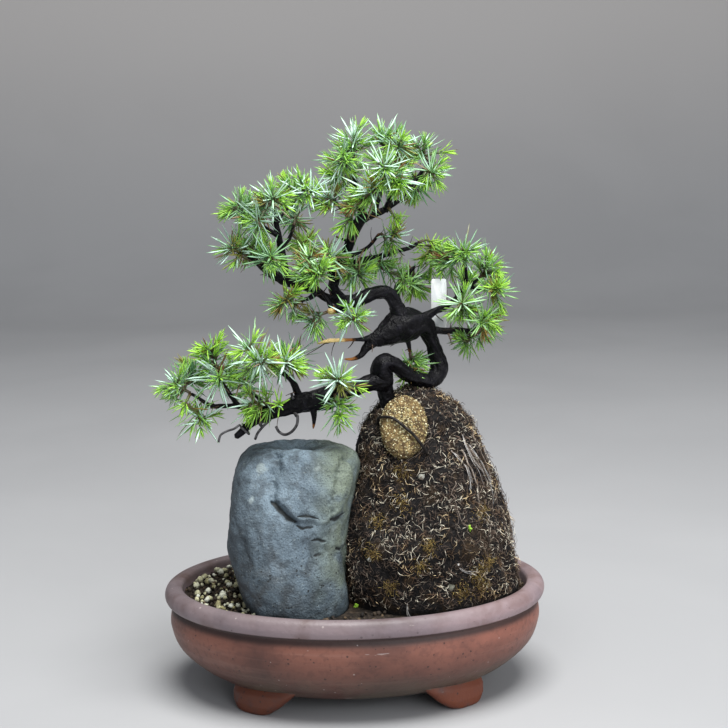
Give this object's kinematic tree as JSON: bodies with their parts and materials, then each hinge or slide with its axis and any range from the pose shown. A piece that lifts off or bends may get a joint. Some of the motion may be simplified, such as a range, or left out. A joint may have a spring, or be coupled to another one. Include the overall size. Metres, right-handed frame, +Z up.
{
  "type": "root over rock bonsai",
  "caption": "Needle juniper bonsai whose root mat clasps a blue-grey river stone, in an oval unglazed clay pot with bracket feet.",
  "frame": {"origin": "on the table under the middle of the pot", "axes": "+Z up, +X along the pot's long side towards the root mat, front of the tree faces -Y"},
  "size_m": [0.21, 0.15, 0.3119],
  "materials": {
    "unglazed_clay": "unglazed red-brown stoneware, greyer on the rim, with mineral staining",
    "drain_mesh": "black plastic mesh",
    "potting_soil": "dark crumbly potting soil",
    "pumice": "pale yellowish pumice gravel",
    "river_stone": "blue-grey river stone, smooth with pocks and hairline cracks",
    "root_mat": "mat of fine brown roots in dark peat",
    "bark": "near-black bark with a slight sheen and pale dead tips",
    "fertilizer_cake": "pressed tan meal, granular",
    "dark_wire": "dark oxidised wire",
    "grey_wire": "grey-brown training wire",
    "label_plastic": "blank white plastic",
    "needles": "mature green needles with a whitish band above",
    "new_needles": "bright yellow-green new growth"
  },
  "bodies": {
    "root": {"pot": "unglazed_clay", "drain_mesh_left": "drain_mesh", "drain_mesh_right": "drain_mesh", "soil": "potting_soil", "pumice_gravel": "pumice", "rock": "river_stone", "root_mound": "root_mat", "trunk": "bark", "fertilizer_cake": "fertilizer_cake", "cake_pin": "dark_wire", "label_strip": "label_plastic", "training_wire_hook": "grey_wire", "training_wire_tail": "grey_wire", "training_wire_coil": "grey_wire", "spray_arm_front": "needles", "spray_arm_under": "needles", "spray_centre_back": "needles", "spray_centre_far_back": "needles", "spray_centre_left": "needles", "spray_centre_right": "new_needles", "spray_centre_top": "needles", "spray_crown_back_left": "needles", "spray_crown_back_right": "needles", "spray_crown_face": "needles", "spray_crown_inner": "new_needles", "spray_crown_left_low": "needles", "spray_crown_low": "needles", "spray_crown_right": "needles", "spray_crown_right_low": "needles", "spray_crown_tip": "needles", "spray_crown_tip_left": "needles", "spray_crown_tip_right": "needles", "spray_front": "needles", "spray_loop": "needles", "spray_low_back": "needles", "spray_low_front": "new_needles", "spray_low_left_rise": "needles", "spray_low_riser_front": "needles", "spray_low_riser_inner": "needles", "spray_low_tip": "needles", "spray_low_tip_under": "new_needles", "spray_low_under": "needles", "spray_middle_front": "needles", "spray_middle_inner": "needles", "spray_middle_left_back": "new_needles", "spray_middle_left_front": "needles", "spray_middle_left_outer": "needles", "spray_middle_left_under": "needles", "spray_right_back": "needles", "spray_right_front": "needles", "spray_right_low": "needles", "spray_right_middle": "needles", "spray_right_out": "new_needles", "spray_right_rise": "needles", "spray_right_tip": "needles", "spray_upper_left_back": "needles", "spray_upper_left_front": "needles", "spray_upper_left_inner": "needles", "spray_upper_left_outer": "needles", "spray_upper_left_right": "needles"}
  },
  "joints": []
}
